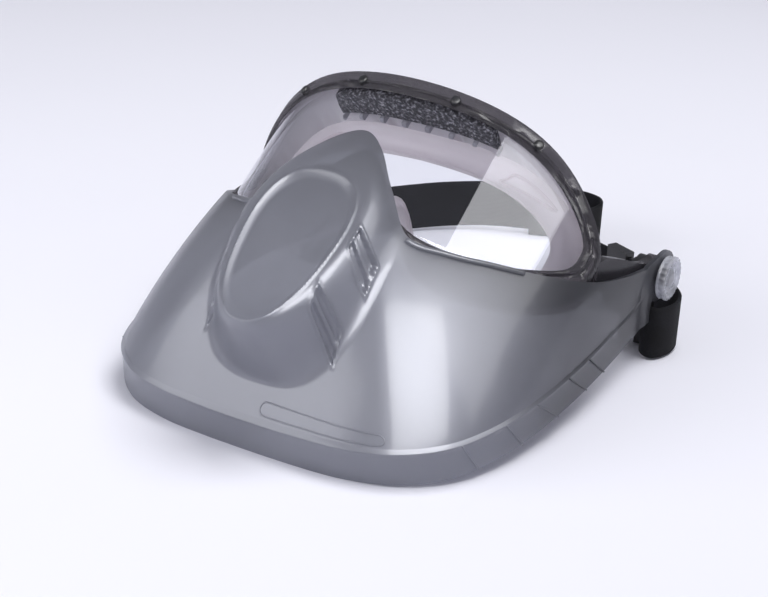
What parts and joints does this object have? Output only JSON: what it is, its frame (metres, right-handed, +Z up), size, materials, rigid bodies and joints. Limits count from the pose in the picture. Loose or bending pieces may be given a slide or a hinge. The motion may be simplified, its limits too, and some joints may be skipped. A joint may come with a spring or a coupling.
{
  "type": "face shield",
  "caption": "Safety goggle with a clear panoramic lens, a pivoting frosted lower face guard, knurled ear knobs and an elastic head strap.",
  "frame": {"origin": "under the middle of the whole object, on the surface it rests on", "axes": "+Y from the front of the guard towards the back of the head strap, +X towards the side with the nearer slide on the strap, +Z up"},
  "size_m": [0.2048, 0.318, 0.1318],
  "materials": {
    "guard_frosted": "frosted, light passes through",
    "lens_clear": "clear polycarbonate",
    "frame_smoke": "soft translucent smoke",
    "seal_pale": "soft, milky",
    "foam_dark": "open-cell foam",
    "grille_grey": "satin",
    "hardware_black": "satin",
    "knob_clear": "clear, moulded",
    "strap_black": "woven elastic"
  },
  "bodies": {
    "guard": {"guard_shell": "guard_frosted"},
    "goggle": {"goggle_frame": "frame_smoke", "lens": "lens_clear", "face_seal": "seal_pale", "brow_foam": "foam_dark", "brow_grille": "grille_grey", "lens_studs": "hardware_black", "temple_lug_right": "frame_smoke", "temple_lug_left": "frame_smoke", "guard_pin_right": "hardware_black", "guard_pin_left": "hardware_black", "ear_washer_right": "hardware_black", "ear_washer_left": "hardware_black"},
    "knob_right": {"knob_right": "knob_clear"},
    "knob_left": {"knob_left": "knob_clear"},
    "headband": {"strap": "strap_black", "strap_clip_right": "hardware_black", "strap_clip_left": "hardware_black"},
    "slide_right": {"strap_slide_right": "hardware_black"},
    "slide_left": {"strap_slide_left": "hardware_black"}
  },
  "joints": [
    {"name": "goggle_swing", "type": "hinge", "parent": "guard", "child": "goggle", "pos_m": [0, 0.0451, 0.03867], "axis": [-1, 0, 0], "range_deg": [0, 35]},
    {"name": "knob_right_turn", "type": "hinge", "parent": "goggle", "child": "knob_right", "pos_m": [0.098, 0.0451, 0.03867], "axis": [1, 0, 0], "range_deg": [0, 90]},
    {"name": "knob_left_turn", "type": "hinge", "parent": "goggle", "child": "knob_left", "pos_m": [-0.098, 0.0451, 0.03867], "axis": [-1, 0, 0], "range_deg": [0, 90]},
    {"name": "headband_swivel", "type": "hinge", "parent": "guard", "child": "headband", "pos_m": [0, 0.0451, 0.03867], "axis": [1, 0, 0], "range_deg": [0, 45]},
    {"name": "slide_right_run", "type": "slide", "parent": "headband", "child": "slide_right", "axis": [0.9015, -0.4327, 0], "range_m": [-0.012, 0.012]},
    {"name": "slide_left_run", "type": "slide", "parent": "headband", "child": "slide_left", "axis": [0.922, 0.3872, 0], "range_m": [-0.01, 0.01]}
  ]
}
